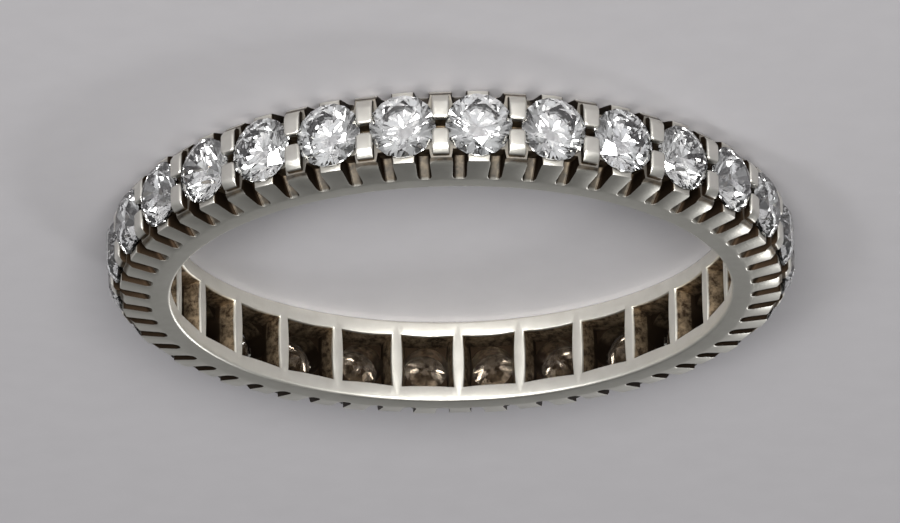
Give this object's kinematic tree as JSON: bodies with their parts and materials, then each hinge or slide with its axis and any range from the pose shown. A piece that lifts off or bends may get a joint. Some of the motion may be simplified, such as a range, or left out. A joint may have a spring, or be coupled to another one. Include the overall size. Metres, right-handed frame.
{
  "type": "eternity ring",
  "caption": "Finger ring of white metal with a full row of round brilliants in shared square claws, open windows behind the stones and saw-cut sides.",
  "frame": {"origin": "centre of the finger hole, half way through the ring's width", "axes": "+Z along the finger, so the ring lies flat; -Y points through a pair of claws, between the first and the last stone"},
  "size_m": [0.0208, 0.0208, 0.0026],
  "materials": {
    "white_metal": "polished platinum with darker, unpolished recesses",
    "stone": "colourless brilliant-cut stone with polished facets"
  },
  "bodies": {
    "root": {"setting": "white_metal", "stone_01": "stone", "stone_02": "stone", "stone_03": "stone", "stone_04": "stone", "stone_05": "stone", "stone_06": "stone", "stone_07": "stone", "stone_08": "stone", "stone_09": "stone", "stone_10": "stone", "stone_11": "stone", "stone_12": "stone", "stone_13": "stone", "stone_14": "stone", "stone_15": "stone", "stone_16": "stone", "stone_17": "stone", "stone_18": "stone", "stone_19": "stone", "stone_20": "stone", "stone_21": "stone", "stone_22": "stone", "stone_23": "stone", "stone_24": "stone", "stone_25": "stone", "stone_26": "stone", "stone_27": "stone", "stone_28": "stone"}
  },
  "joints": []
}
